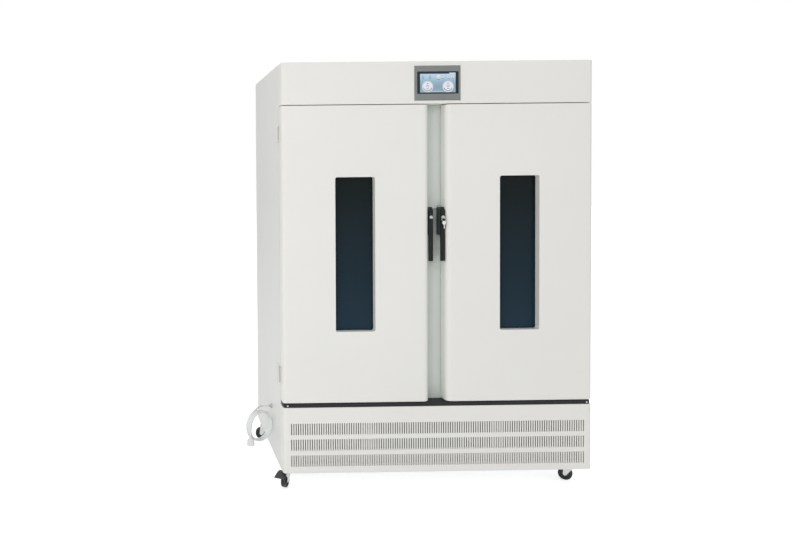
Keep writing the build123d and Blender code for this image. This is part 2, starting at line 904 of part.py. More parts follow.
# Casters
def caster(code, braked):
    x, y = caster_spots[code]
    heading = radians(caster_heading[code])
    along = (cos(heading), sin(heading), 0)
    across = (sin(heading), -cos(heading), 0)
    ground = Plane((x, y, 0), x_dir=along, z_dir=(0, 0, 1))
    upright = Plane((x, y, 0), x_dir=along, z_dir=across)
    leg_inside = wheel_width / 2 + leg_side_gap
    axle = (caster_trail, wheel_radius)
    ear = (pedal_pivot_x, pedal_pivot_z)
    crown_top = crown_bottom + crown_thickness
    crown_rear = caster_trail + leg_end_radius
    with BuildPart() as fork:
        with BuildSketch(upright.offset(-leg_inside - leg_thickness)):
            with Locations(axle):
                Circle(leg_end_radius)
            with Locations((crown_rear / 2 - leg_end_radius, crown_top)):
                Rectangle(crown_rear + leg_end_radius, 3, align=(Align.CENTER, Align.MAX))
            make_hull()
        extrude(amount=2 * (leg_inside + leg_thickness))
        if braked:
            with BuildSketch(upright.offset(-leg_inside - leg_thickness)):
                with Locations(ear):
                    Circle(2 * pedal_pin_radius)
                with Locations((caster_trail, crown_bottom)):
                    Rectangle(2 * leg_end_radius, 3 * leg_end_radius, align=(Align.CENTER, Align.MAX))
                make_hull()
            extrude(amount=2 * (leg_inside + leg_thickness))
        with BuildSketch(upright.offset(-leg_inside)):
            with Locations((caster_trail, 0)):
                Rectangle(5 * wheel_radius, crown_bottom, align=(Align.CENTER, Align.MIN))
        extrude(amount=2 * leg_inside, mode=Mode.SUBTRACT)
        with BuildSketch(ground.offset(crown_top)):
            Circle(race_radius)
        extrude(amount=plate_bottom - race_gap - crown_top, taper=12)
        head_low = caster_height + end_clearance
        with BuildSketch(ground.offset(crown_top)):
            Circle(kingpin_radius)
        extrude(amount=head_low - crown_top)
        with BuildSketch(ground.offset(head_low)):
            Circle(kingpin_head_radius)
        extrude(amount=kingpin_head)
        with BuildSketch(upright.offset(-leg_inside - leg_thickness)):
            with Locations(axle):
                Circle(axle_radius)
        extrude(amount=2 * (leg_inside + leg_thickness))
        if braked:
            with BuildSketch(upright.offset(-leg_inside - leg_thickness)):
                with Locations(ear):
                    Circle(pedal_pin_radius + running_clearance)
            extrude(amount=2 * (leg_inside + leg_thickness), mode=Mode.SUBTRACT)
    finish(fork, f"caster_{code}_fork")

    center = (x + along[0] * caster_trail, y + along[1] * caster_trail, wheel_radius)
    section = Plane(center, x_dir=along, z_dir=(0, 0, 1))
    half = wheel_width / 2
    with BuildPart() as wheel:
        with BuildSketch(section):
            with BuildLine():
                Polyline(
                    (axle_radius + running_clearance, -half),
                    (wheel_radius * 0.36, -half),
                    (wheel_radius * 0.4, -half * 0.6),
                    (wheel_radius * 0.7, -half * 0.6),
                    (wheel_radius * 0.74, -half),
                    (wheel_radius, -half * 0.8),
                    (wheel_radius, half * 0.8),
                    (wheel_radius * 0.74, half),
                    (wheel_radius * 0.7, half * 0.6),
                    (wheel_radius * 0.4, half * 0.6),
                    (wheel_radius * 0.36, half),
                    (axle_radius + running_clearance, half),
                    close=True,
                )
            make_face()
        revolve(axis=Axis(center, across))
    finish(wheel, f"caster_{code}_wheel")

    if braked:
        plate_low = pedal_pivot_z + 2 * pedal_pin_radius + 1.5
        bend_x = pedal_pivot_x + 12
        inner_x = crown_rear + 2
        tip_x = pedal_pivot_x + pedal_length
        cheek_outside = leg_inside - end_clearance
        with BuildPart() as pedal:
            with BuildSketch(upright):
                with BuildLine():
                    Polyline(
                        (inner_x, plate_low),
                        (bend_x, plate_low),
                        (tip_x, plate_low - pedal_drop),
                        (tip_x, plate_low - pedal_drop + pedal_sheet),
                        (bend_x, plate_low + pedal_sheet),
                        (inner_x, plate_low + pedal_sheet),
                        close=True,
                    )
                make_face()
            extrude(amount=pedal_width / 2, both=True)
            for face_offset in (-cheek_outside, cheek_outside - pedal_cheek):
                with BuildSketch(upright.offset(face_offset)):
                    with Locations(ear):
                        Circle(2 * pedal_pin_radius)
                    with Locations((pedal_pivot_x + 3, plate_low)):
                        Rectangle(16, pedal_sheet, align=(Align.CENTER, Align.MIN))
                    make_hull()
                extrude(amount=pedal_cheek)
            with BuildSketch(upright.offset(-cheek_outside)):
                with Locations((bend_x - 5, plate_low)):
                    Rectangle(3, pedal_pad_length, align=(Align.MIN, Align.MAX))
            extrude(amount=2 * cheek_outside)
            with BuildSketch(upright.offset(-leg_inside - leg_thickness)):
                with Locations(ear):
                    Circle(pedal_pin_radius)
            extrude(amount=2 * (leg_inside + leg_thickness))
        finish(pedal, f"caster_{code}_pedal")


for code in caster_spots:
    caster(code, braked=code[0] == "f")

# Rack and shelves
rack_rear_y = rack_front_y + shelf_depth - rack_post
rack_top = opening_top - 12.0
rack_side_x = opening_side - rack_post / 2
with BuildPart() as shelf_rack:
    with BuildSketch(Plane.XY.offset(opening_bottom)):
        with Locations((0, (rack_front_y + rack_rear_y) / 2)):
            with GridLocations(rack_side_x, rack_rear_y - rack_front_y, 3, 2):
                Rectangle(rack_post, rack_post)
    extrude(amount=rack_top - opening_bottom)
    for level in shelf_levels:
        for x in (-rack_side_x, 0, rack_side_x):
            reach = rack_post / 2 + rack_ledge
            box(
                max(x - reach, -opening_side),
                min(x + reach, opening_side),
                rack_front_y - rack_post / 2,
                rack_rear_y + rack_post / 2,
                level - rack_sheet,
                level,
            )
    for z in (opening_bottom, rack_top - rack_post):
        box(
            -rack_side_x,
            rack_side_x,
            rack_rear_y - rack_sheet,
            rack_rear_y + rack_sheet,
            z,
            z + rack_post,
        )
finish(shelf_rack, "shelf_rack")

shelf_inner = rack_post / 2 + shelf_side_gap
shelf_outer = rack_side_x - rack_post / 2 - shelf_side_gap
shelf_middle_y = (rack_front_y + rack_rear_y) / 2
for side, side_name in ((-1, "left"), (1, "right")):
    for number, level in enumerate(shelf_levels, 1):
        width = shelf_outer - shelf_inner
        middle = (side * (shelf_inner + shelf_outer) / 2, shelf_middle_y)
        window = width - 2 * shelf_rim
        pitch = window / shelf_bars
        with BuildPart() as shelf:
            with BuildSketch(Plane.XY.offset(level)):
                with Locations(middle):
                    Rectangle(width, shelf_depth)
                    with GridLocations(pitch, 0, shelf_bars, 1):
                        Rectangle(pitch - shelf_bar, shelf_depth - 2 * shelf_rim, mode=Mode.SUBTRACT)
            extrude(amount=shelf_thickness)
        finish(shelf, f"shelf_{side_name}_{number}")

# Air duct at the back of the chamber, with guarded fan holes and an intake
duct_front_y = chamber_back_y - duct_depth
duct_low = opening_bottom + duct_floor_gap
duct_high = opening_top - duct_ceiling_gap
with BuildPart() as air_duct:
    box(
        -duct_half_width,
        duct_half_width,
        duct_front_y,
        chamber_back_y,
        duct_low,
        duct_high,
    )
    offset(amount=-sheet, openings=air_duct.faces().sort_by(Axis.Y)[-1])
    with BuildSketch(Plane.XZ.offset(-duct_front_y)) as openings:
        with Locations((-fan_x, fan_z), (fan_x, fan_z)):
            Circle(fan_radius)
            Circle(fan_radius * 0.62, mode=Mode.SUBTRACT)
            Circle(fan_radius * 0.62 - fan_guard_ring)
            Circle(fan_hub_radius, mode=Mode.SUBTRACT)
            with PolarLocations(fan_radius / 2, 6):
                Rectangle(fan_radius * 1.1, fan_guard_ring, mode=Mode.SUBTRACT)
        with Locations((0, duct_low + intake_slots * intake_pitch)):
            with GridLocations(intake_length * 1.15, intake_pitch, 2, intake_slots):
                Rectangle(intake_length, intake_width)
    extrude(amount=-2 * sheet, mode=Mode.SUBTRACT)
finish(air_duct, "air_duct")

fan_back_y = chamber_back_y - (duct_depth - sheet - fan_hub_length) / 2 - end_clearance
for side, side_name in ((-1, "left"), (1, "right")):
    hub_plane = Plane.XZ.offset(-fan_back_y)
    with BuildPart() as fan:
        with BuildSketch(hub_plane):
            with Locations((side * fan_x, fan_z)):
                Circle(fan_hub_radius)
        extrude(amount=fan_hub_length - 2)
        with BuildSketch(hub_plane):
            with Locations((side * fan_x, fan_z)):
                Circle(fan_shaft_radius + running_clearance)
        extrude(amount=fan_hub_length, mode=Mode.SUBTRACT)
        hub_middle = Vector(side * fan_x, fan_back_y - fan_hub_length / 2 + 1, fan_z)
        for number in range(fan_blades):
            turn = radians(360 / fan_blades * number)
            radial = Vector(cos(turn), 0, sin(turn))
            blade_plane = Plane(hub_middle, x_dir=(0, 1, 0), z_dir=radial)
            with BuildSketch(blade_plane.offset(fan_hub_radius - 4)) as root:
                Rectangle(2, 20, rotation=40)
            with BuildSketch(blade_plane.offset(fan_radius - 6)) as tip:
                Rectangle(2, 42, rotation=18)
            loft([root.sketch, tip.sketch], ruled=True)
    finish(fan, f"fan_{side_name}")

# Mains cord: gland, lead, hanging coil, tail and plug
cord_radius = cord_diameter / 2
with BuildPart() as cable_gland:
    with BuildSketch(Plane.YZ.offset(-half_width)):
        with Locations((gland_y, gland_z)):
            RegularPolygon(gland_flange_radius, 6)
    extrude(amount=-gland_flange)
    with BuildSketch(Plane.YZ.offset(-half_width - gland_flange)):
        with Locations((gland_y, gland_z)):
            Circle(gland_nose_radius)
    extrude(amount=-gland_nose, taper=12)
    with BuildSketch(Plane.YZ.offset(-half_width)):
        with Locations((gland_y, gland_z)):
            Circle(gland_nose_radius - gland_hole_gap)
    extrude(amount=gland_nose)
finish(cable_gland, "cable_gland")


def cord_tube(route, name):
    """A tube of straight runs joined by arcs as large as the runs allow."""
    points = [Vector(*p) for p in route]
    runs = [b - a for a, b in zip(points, points[1:])]
    radii = []
    for before, after in zip(runs, runs[1:]):
        half_turn = radians(before.get_angle(after)) / 2
        radii.append(0.45 * min(before.length, after.length) / tan(half_turn))
    with BuildPart() as tube:
        with BuildLine() as path:
            FilletPolyline(*points, radius=radii)
        with BuildSketch(Plane(points[0], z_dir=runs[0])):
            Circle(cord_radius)
        sweep()
    length = sum(e.length for e in path.edges())
    ratio = tube.part.volume / (length * pi * cord_radius**2)
    print(name, "length", round(length), "radii", [round(r) for r in radii], "ratio", round(ratio, 4))
    finish(tube, name)


cord_tube(lead_route, "cord_lead")
cord_tube(tail_route, "cord_tail")

coil_right = Vector(cos(radians(coil_yaw)), sin(radians(coil_yaw)), 0)
coil_axis = Vector(sin(radians(coil_yaw)), -cos(radians(coil_yaw)), 0)
with BuildPart() as cord_coil:
    with BuildSketch(Plane(coil_center, x_dir=coil_right, z_dir=coil_axis)):
        Circle(coil_radius + cord_radius)
        Circle(coil_radius - cord_radius, mode=Mode.SUBTRACT)
    extrude(amount=coil_turns * coil_pitch / 2, both=True)
finish(cord_coil, "cord_coil")

plug_top = Vector(*tail_route[-1])
with BuildPart() as power_plug:
    with BuildSketch(Plane(plug_top, z_dir=(0, 0, -1))):
        Circle(cord_radius + 2)
    with BuildSketch(Plane(plug_top - Vector(0, 0, plug_nose), z_dir=(0, 0, -1))):
        RectangleRounded(plug_width, plug_depth, plug_depth / 3)
    loft()
    with BuildSketch(Plane(plug_top - Vector(0, 0, plug_nose), z_dir=(0, 0, -1))):
        RectangleRounded(plug_width, plug_depth, plug_depth / 3)
    extrude(amount=plug_length - plug_nose)
    with BuildSketch(Plane(plug_top - Vector(0, 0, plug_length), z_dir=(0, 0, -1))):
        with Locations((-plug_width / 4, -plug_depth / 8), (plug_width / 4, -plug_depth / 8)):
            Rectangle(plug_pin_thickness, plug_pin_width)
        with Locations((0, plug_depth / 4)):
            Rectangle(plug_pin_thickness, plug_pin_width)
    extrude(amount=plug_pin_length)
finish(power_plug, "power_plug")
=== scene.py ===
import math

import bmesh
import bpy
from mathutils import Matrix, Vector


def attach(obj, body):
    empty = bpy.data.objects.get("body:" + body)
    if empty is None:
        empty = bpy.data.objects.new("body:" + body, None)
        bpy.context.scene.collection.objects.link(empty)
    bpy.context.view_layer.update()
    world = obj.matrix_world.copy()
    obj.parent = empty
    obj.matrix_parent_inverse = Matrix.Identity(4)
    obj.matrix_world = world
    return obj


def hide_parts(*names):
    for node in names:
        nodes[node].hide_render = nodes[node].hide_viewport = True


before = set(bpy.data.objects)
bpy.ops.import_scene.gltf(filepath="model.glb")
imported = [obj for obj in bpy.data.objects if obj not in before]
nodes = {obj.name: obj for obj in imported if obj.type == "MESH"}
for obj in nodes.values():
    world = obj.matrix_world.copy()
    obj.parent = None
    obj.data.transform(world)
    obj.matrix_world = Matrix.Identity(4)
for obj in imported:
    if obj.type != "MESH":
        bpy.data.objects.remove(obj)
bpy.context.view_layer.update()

# Metres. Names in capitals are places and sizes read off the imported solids.
MM = 0.001
FRONT = -0.440
HALF = 0.705


# Materials
class Shade:
    """A node material in the making: one Principled shader and helpers for its inputs."""

    def __init__(self, name, rough=0.4, metallic=0.0, **sockets):
        self.mat = bpy.data.materials.new(name)
        self.mat.use_nodes = True
        self.tree = self.mat.node_tree
        self.bsdf = self.tree.nodes["Principled BSDF"]
        self.bsdf.inputs["Roughness"].default_value = rough
        self.bsdf.inputs["Metallic"].default_value = metallic
        for socket, value in sockets.items():
            self.bsdf.inputs[socket.replace("_", " ")].default_value = value
        self.place = self.node("ShaderNodeTexCoord").outputs["Object"]

    def node(self, kind, **settings):
        made = self.tree.nodes.new(kind)
        for key, value in settings.items():
            setattr(made, key, value)
        return made

    def link(self, output, target):
        self.tree.links.new(output, target)

    def stretched(self, scale):
        mapping = self.node("ShaderNodeMapping")
        mapping.inputs["Scale"].default_value = scale
        self.link(self.place, mapping.inputs["Vector"])
        return mapping.outputs["Vector"]

    def noise(self, scale, detail=3.0, vector=None, rough=0.55):
        made = self.node("ShaderNodeTexNoise")
        made.inputs["Scale"].default_value = scale
        made.inputs["Detail"].default_value = detail
        made.inputs["Roughness"].default_value = rough
        self.link(vector or self.place, made.inputs["Vector"])
        return made.outputs["Fac"]

    def ramp(self, factor, stops):
        made = self.node("ShaderNodeValToRGB")
        elements = made.color_ramp.elements
        while len(elements) < len(stops):
            elements.new(0.5)
        for element, (position, color) in zip(elements, stops):
            element.position = position
            element.color = (*color, 1.0)
        self.link(factor, made.inputs["Fac"])
        return made.outputs["Color"]

    def span(self, factor, low, high, start=0.0, end=1.0):
        made = self.node("ShaderNodeMapRange")
        for socket, value in (
            ("From Min", start),
            ("From Max", end),
            ("To Min", low),
            ("To Max", high),
        ):
            made.inputs[socket].default_value = value
        self.link(factor, made.inputs["Value"])
        return made.outputs["Result"]

    def axis(self, name):
        made = self.node("ShaderNodeSeparateXYZ")
        self.link(self.place, made.inputs[0])
        return made.outputs[name]

    def color(self, source):
        self.link(source, self.bsdf.inputs["Base Color"])

    def rough(self, source):
        self.link(source, self.bsdf.inputs["Roughness"])

    def bump(self, height, strength, distance):
        made = self.node("ShaderNodeBump")
        made.inputs["Strength"].default_value = strength
        made.inputs["Distance"].default_value = distance
        self.link(height, made.inputs["Height"])
        self.link(made.outputs["Normal"], self.bsdf.inputs["Normal"])


def shifted(color, factor):
    return tuple(min(1.0, c * factor) for c in color)


def varied(shade, color, scale, low=0.97, high=1.02, vector=None):
    """The base colour drifts a little over the surface."""
    drift = shade.noise(scale, 4.0, vector)
    shade.color(shade.ramp(drift, [(0.3, shifted(color, low)), (0.7, shifted(color, high))]))
    return drift


def powder_coat(name, color, rough=0.42, peel=0.10, scale=620.0, specular=0.45):
    """Stoved powder paint: fine orange peel under an even satin sheen."""
    shade = Shade(name, rough, Specular_IOR_Level=specular)
    varied(shade, color, 2.2, 0.985, 1.01)
    grain = shade.noise(scale, 2.0)
    shade.rough(shade.span(shade.noise(9.0, 3.0), rough - 0.04, rough + 0.05))
    shade.bump(grain, peel, 0.00025)
    return shade.mat


def moulded(name, color, rough=0.5, scale=900.0, strength=0.12, specular=0.4):
    """Moulded plastic or rubber with a spark-eroded grain."""
    shade = Shade(name, rough, Specular_IOR_Level=specular)
    varied(shade, color, 14.0, 0.94, 1.05)
    shade.rough(shade.span(shade.noise(40.0), rough - 0.06, rough + 0.08))
    shade.bump(shade.noise(scale, 2.0), strength, 0.0002)
    return shade.mat


def brushed(name, color, direction, rough=0.34, dark=0.86):
    """Sheet metal with long fine grinding lines along one axis."""
    shade = Shade(name, rough, 1.0)
    lines = shade.noise(1.0, 5.0, shade.stretched(direction), 0.7)
    shade.color(shade.ramp(lines, [(0.25, shifted(color, dark)), (0.75, shifted(color, 1.05))]))
    shade.rough(shade.span(lines, rough - 0.07, rough + 0.1))
    shade.bump(lines, 0.12, 0.0001)
    return shade.mat


def zinc_sheet(name, color):
    """Galvanised sheet with its crystal spangle."""
    shade = Shade(name, 0.42, 0.9)
    cells = shade.node("ShaderNodeTexVoronoi")
    cells.inputs["Scale"].default_value = 70.0
    shade.link(shade.place, cells.inputs["Vector"])
    tone = shade.node("ShaderNodeRGBToBW")
    shade.link(cells.outputs["Color"], tone.inputs[0])
    value = tone.outputs[0]
    shade.color(shade.ramp(value, [(0.1, shifted(color, 0.84)), (0.9, shifted(color, 1.1))]))
    shade.rough(shade.span(value, 0.32, 0.55))
    return shade.mat


WHITE = (0.800, 0.795, 0.762)
# Painted shade: the next colour is the white paint made darker and slightly greener, standing in
# for the shade on the side panels; the top panel takes it too.
SHADED_WHITE = (0.760, 0.765, 0.735)
paint = powder_coat("paint_white", WHITE)
paint_white_shaded = powder_coat("paint_white_shaded", SHADED_WHITE)
# Painted shade: the face frame's mullion is white like the body, and this darker, green-tinged
# copy stands in for the shade in the recess between the doors; the latch strike takes the same
# colour.
shaded_face_paint = powder_coat("paint_face_shaded", (0.66, 0.70, 0.665), 0.45)
dark_paint = powder_coat("paint_threshold", (0.034, 0.034, 0.037), 0.46, specular=0.08)
hinge_paint = powder_coat("paint_hinge", (0.70, 0.70, 0.67), 0.38)
black_paint = powder_coat("paint_black", (0.030, 0.030, 0.032), 0.36)
zinc = zinc_sheet("galvanised", (0.56, 0.57, 0.57))
steel = brushed("liner_steel", (0.62, 0.63, 0.63), (4.0, 4.0, 500.0))
shelf_metal = brushed("shelf_steel", (0.66, 0.67, 0.68), (420.0, 6.0, 6.0), 0.28)
plated = brushed("zinc_plate", (0.60, 0.61, 0.60), (90.0, 90.0, 90.0), 0.30)
chrome = brushed("screw_steel", (0.72, 0.72, 0.72), (300.0, 300.0, 300.0), 0.22, 0.93)
black_plastic = moulded("handle_black", (0.014, 0.017, 0.016), 0.40, specular=0.16)
slate_plastic = moulded("housing_slate", (0.045, 0.058, 0.064), 0.42, specular=0.2)
bezel_plastic = moulded("bezel_grey", (0.205, 0.222, 0.216), 0.46, 1200.0, 0.1)
gasket_rubber = moulded("gasket_rubber", (0.33, 0.36, 0.34), 0.6, 500.0)
tyre_rubber = moulded("wheel_black", (0.018, 0.018, 0.020), 0.38, 800.0)
fan_plastic = moulded("fan_black", (0.035, 0.035, 0.038), 0.5)
cord_rubber = moulded("cord_white", (0.78, 0.80, 0.80), 0.42, 700.0, 0.08)
plug_plastic = moulded("plug_white", (0.74, 0.76, 0.76), 0.4, 900.0, 0.1)
gland_plastic = moulded("gland_grey", (0.50, 0.51, 0.51), 0.5)
bristle = moulded("nylon_white", (0.72, 0.73, 0.71), 0.35, 900.0, 0.05)

foam = Shade("foam", 0.9, Specular_IOR_Level=0.1)
varied(foam, (0.70, 0.62, 0.40), 60.0, 0.85, 1.05)
foam.bump(foam.noise(350.0, 4.0), 0.5, 0.001)
foam = foam.mat

copper = brushed("copper_pipe", (0.72, 0.36, 0.22), (60.0, 60.0, 60.0), 0.3)

tinted = Shade("tinted_glass", 0.03, Specular_IOR_Level=0.06, IOR=1.45)
# Painted reflection: the glass's base colour is lighter and bluer towards the bottom of the
# windows and darker towards the top.
painted_reflection_height = tinted.span(tinted.axis("Z"), 0.0, 1.0, 0.74, 1.42)
tinted.color(tinted.ramp(painted_reflection_height, [(0.0, (0.010, 0.034, 0.056)), (1.0, (0.006, 0.011, 0.011))]))
tinted.bsdf.inputs["Transmission Weight"].default_value = 0.18
tinted = tinted.mat

screen_glass = Shade("screen_glass", 0.08, Specular_IOR_Level=0.3)
varied(screen_glass, (0.012, 0.018, 0.023), 30.0, 0.9, 1.1)
screen_glass = screen_glass.mat


# Mesh helpers
def piece(name, bm, mat, body="cabinet", smooth=True):
    mesh = bpy.data.meshes.new(name)
    bmesh.ops.recalc_face_normals(bm, faces=bm.faces)
    bm.to_mesh(mesh)
    bm.free()
    for polygon in mesh.polygons:
        polygon.use_smooth = smooth
    made = bpy.data.objects.new(name, mesh)
    bpy.context.scene.collection.objects.link(made)
    mesh.materials.append(mat)
    if smooth:
        mesh.set_sharp_from_angle(angle=math.radians(35))
    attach(made, body)
    return made


def aim(direction):
    """Turns local +Z to a direction."""
    return Vector(direction).to_track_quat("Z", "Y").to_matrix().to_4x4()


def lathe(bm, profile, at, direction, steps=32):
    """A closed turned shape: profile points are (radius, height along the direction)."""
    turn = Matrix.Translation(at) @ aim(direction)
    rings = []
    for radius, height in profile:
        if radius < 1e-7:
            rings.append([bm.verts.new(turn @ Vector((0, 0, height)))])
            continue
        ring = []
        for k in range(steps):
            a = 2 * math.pi * k / steps
            ring.append(
                bm.verts.new(turn @ Vector((radius * math.cos(a), radius * math.sin(a), height)))
            )
        rings.append(ring)
    for low, high in zip(rings, rings[1:]):
        for k in range(steps):
            n = (k + 1) % steps
            loop = [low[k % len(low)], low[n % len(low)], high[n % len(high)], high[k % len(high)]]
            corners = list(dict.fromkeys(loop))
            if len(corners) > 2:
                bm.faces.new(corners)


def screw_head(bm, at, direction, radius=0.004, height=0.0018, cross=True):
    """A pan head with a cross recess cut into its crown."""
    turn = Matrix.Translation(at) @ aim(direction)
    spokes, rings = 24, 6
    shells = []
    for j in range(rings + 1):
        share = j / rings
        ring = []
        for k in range(spokes):
            a = 2 * math.pi * k / spokes
            r = radius * share
            z = height * (1 - 0.45 * share**3)
            off = min(abs(r * math.cos(a)), abs(r * math.sin(a)))
            if cross and off < radius * 0.16 and share < 0.62:
                z -= height * 0.55
            ring.append(bm.verts.new(turn @ Vector((r * math.cos(a), r * math.sin(a), z))))
            if j == 0:
                break
        shells.append(ring)
    skirt = []
    for k in range(spokes):
        a = 2 * math.pi * k / spokes
        skirt.append(bm.verts.new(turn @ Vector((radius * math.cos(a), radius * math.sin(a), 0))))
    shells.append(skirt)
    for low, high in zip(shells, shells[1:]):
        for k in range(spokes):
            n = (k + 1) % spokes
            loop = [low[k % len(low)], low[n % len(low)], high[n % len(high)], high[k % len(high)]]
            corners = list(dict.fromkeys(loop))
            if len(corners) > 2:
                bm.faces.new(corners)
    bm.faces.new(list(reversed(skirt)))


def slab(bm, low, high):
    """A thin field between two corners."""
    low, high = Vector(low), Vector(high)
    made = bmesh.ops.create_cube(bm, size=1.0)["verts"]
    size, middle = high - low, (low + high) / 2
    for vert in made:
        vert.co = Vector(a * b for a, b in zip(vert.co, size)) + middle


def tube(name, points, radius, mat, body, resolution=8):
    """A round bar or wire along a smooth line."""
    curve = bpy.data.curves.new(name, "CURVE")
    curve.dimensions = "3D"
    curve.bevel_depth = radius
    curve.bevel_resolution = 5
    curve.resolution_u = resolution
    curve.use_fill_caps = True
    spline = curve.splines.new("NURBS")
    spline.points.add(len(points) - 1)
    for point, co in zip(spline.points, points):
        point.co = (*co, 1.0)
    spline.order_u = 3
    spline.use_endpoint_u = True
    made = bpy.data.objects.new(name, curve)
    bpy.context.scene.collection.objects.link(made)
    curve.materials.append(mat)
    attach(made, body)
    return made


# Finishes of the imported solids
finishes = {
    "header_panel": paint,
    "base_front": paint,
    "top_panel": paint_white_shaded,
    "side_panel": paint_white_shaded,
    "back_panel": zinc,
    "base_frame": zinc,
    "face_frame": shaded_face_paint,
    "chamber_liner": steel,
    "air_duct": steel,
    "insulation": foam,
    "threshold_rail": dark_paint,
    "touch_bezel": bezel_plastic,
    "touch_glass": screen_glass,
    "latch_strike": shaded_face_paint,
    "condensing_unit": black_paint,
    "shelf_": shelf_metal,
    "fan_": fan_plastic,
    "hinge_": hinge_paint,
    "cable_gland": gland_plastic,
    "power_plug": plug_plastic,
    "cord_": cord_rubber,
    "_shell": paint,
    "_liner": steel,
    "_gasket": gasket_rubber,
    "_glazing": tinted,
    "_housing": slate_plastic,
    "_lever": black_plastic,
    "_lock": chrome,
    "_fork": plated,
    "_wheel": tyre_rubber,
    "_pedal": black_paint,
}
for name, node in nodes.items():
    finish = next(m for key, m in finishes.items() if name.startswith(key) or name.endswith(key))
    node.data.materials.clear()
    node.data.materials.append(finish)


# Mains cord
CORD = 0.0085
COIL_RADIUS = 0.0712
COIL_WANDER = 0.0018
COIL_PITCH = 0.0095
COIL_TURNS = 4
COIL_POINTS = 16
coil_center = Vector((-776.6, -172.0, 231.0)) * MM
coil_yaw = math.radians(35)
coil_right = Vector((math.cos(coil_yaw), math.sin(coil_yaw), 0))
coil_axis = Vector((math.sin(coil_yaw), -math.cos(coil_yaw), 0))
lead = [
    (-721.0, -98.0, 305.0),
    (-741.0, -98.0, 305.0),
    (-762.6, -108.5, 306.0),
    (-779.8, -130.6, 305.0),
    (-793.9, -157.1, 301.0),
]
tail = [(-827.0, -224.5, 208.0), (-827.0, -224.5, 186.0)]
route = [Vector(p) * MM for p in lead]
steps = COIL_TURNS * COIL_POINTS + COIL_POINTS // 6
for k in range(steps + 1):
    angle = math.radians(120) + 2 * math.pi * k / COIL_POINTS
    along = (k / steps - 0.5) * (COIL_TURNS - 1) * COIL_PITCH
    radius = COIL_RADIUS + COIL_WANDER * math.sin(k * 0.37)
    route.append(
        coil_center
        + coil_right * (radius * math.cos(angle))
        + Vector((0, 0, radius * math.sin(angle)))
        + coil_axis * along
    )
route += [Vector(p) * MM for p in tail]
cord = tube("mains_cord", route, CORD / 2, cord_rubber, "cabinet", resolution=6)
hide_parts("cord_lead", "cord_coil", "cord_tail")


# Touch screen
def linear(*rgb):
    """Screen colours are written as 0 to 255 and turned to linear light."""
    return tuple(((c / 255 + 0.055) / 1.055) ** 2.4 if c > 10 else c / 3294.6 for c in rgb)


def glowing(name, color=None, strength=1.0):
    shade = Shade(name, 0.3, Base_Color=(0.01, 0.012, 0.015, 1), Specular_IOR_Level=0.2)
    if color:
        shade.bsdf.inputs["Emission Color"].default_value = (*color, 1)
    shade.bsdf.inputs["Emission Strength"].default_value = strength
    return shade


SCREEN_Y = -0.4455
SCREEN_Z = 1.8535
DISPLAY = (160, 88)
HALF_SHEET = 0.00006
picture = glowing("display_picture")
height = picture.span(picture.axis("Z"), 0.0, 1.0, SCREEN_Z - 0.044, SCREEN_Z + 0.044)
picture_color = picture.ramp(
    height,
    [
        (0.0, linear(150, 168, 180)),
        (0.3, linear(132, 160, 178)),
        (0.55, linear(150, 176, 196)),
        (0.8, linear(178, 202, 220)),
        (1.0, linear(196, 214, 226)),
    ],
)
picture.link(picture_color, picture.bsdf.inputs["Emission Color"])
screen_white = glowing("display_white", linear(226, 228, 236)).mat
screen_grey = glowing("display_grey", linear(96, 96, 112)).mat
screen_teal = glowing("display_teal", linear(120, 176, 190)).mat
screen_navy = glowing("display_navy", linear(28, 48, 78)).mat


def on_screen(x, z, layer):
    return Vector((x * MM, SCREEN_Y - 0.0001 - 0.00015 * layer, SCREEN_Z + z * MM))


def panel(bm, x, z, width, tall, layer):
    """A flat coloured field on the screen, in millimetres from its middle."""
    middle = on_screen(x, z, layer)
    half = Vector((width / 2 * MM, HALF_SHEET, tall / 2 * MM))
    slab(bm, middle - half, middle + half)


def arc(bm, x, z, inner, outer, start, end, layer, steps=40):
    """A band of a circle, as on a dial."""
    rows = []
    for k in range(steps + 1):
        a = math.radians(start + (end - start) * k / steps)
        row = []
        for r, lift in ((inner, 1), (outer, 1), (outer, -1), (inner, -1)):
            at = on_screen(x + r * math.cos(a), z + r * math.sin(a), layer)
            row.append(bm.verts.new(at + Vector((0, lift * HALF_SHEET, 0))))
        rows.append(row)
    for low, high in zip(rows, rows[1:]):
        for k in range(4):
            n = (k + 1) % 4
            bm.faces.new((low[k], low[n], high[n], high[k]))
    bm.faces.new(rows[0])
    bm.faces.new(list(reversed(rows[-1])))


SEGMENTS = {
    "0": "abcdef",
    "2": "abged",
    "5": "afgcd",
    "6": "afgcde",
}
STROKES = {
    "a": (0, 1, 1, 0),
    "b": (0.5, 0.5, 0, 1),
    "c": (0.5, -0.5, 0, 1),
    "d": (0, -1, 1, 0),
    "e": (-0.5, -0.5, 0, 1),
    "f": (-0.5, 0.5, 0, 1),
    "g": (0, 0, 1, 0),
}


def digits(bm, text, x, z, size, layer):
    """Plain seven-segment figures."""
    pitch = size * 0.9
    for place, figure in enumerate(text):
        at = x + (place - (len(text) - 1) / 2) * pitch
        for stroke in SEGMENTS[figure]:
            dx, dz, flat, upright = STROKES[stroke]
            panel(
                bm,
                at + dx * size * 0.56,
                z + dz * size * 0.5,
                size * (0.5 * flat + 0.13),
                size * (0.5 * upright + 0.13),
                layer,
            )


bm = bmesh.new()
panel(bm, 0, 0, *DISPLAY, 0)
piece("screen_display", bm, picture.mat)

bm = bmesh.new()
panel(bm, -14, 41.6, 132, 5, 1)
piece("screen_status_bar", bm, screen_navy)

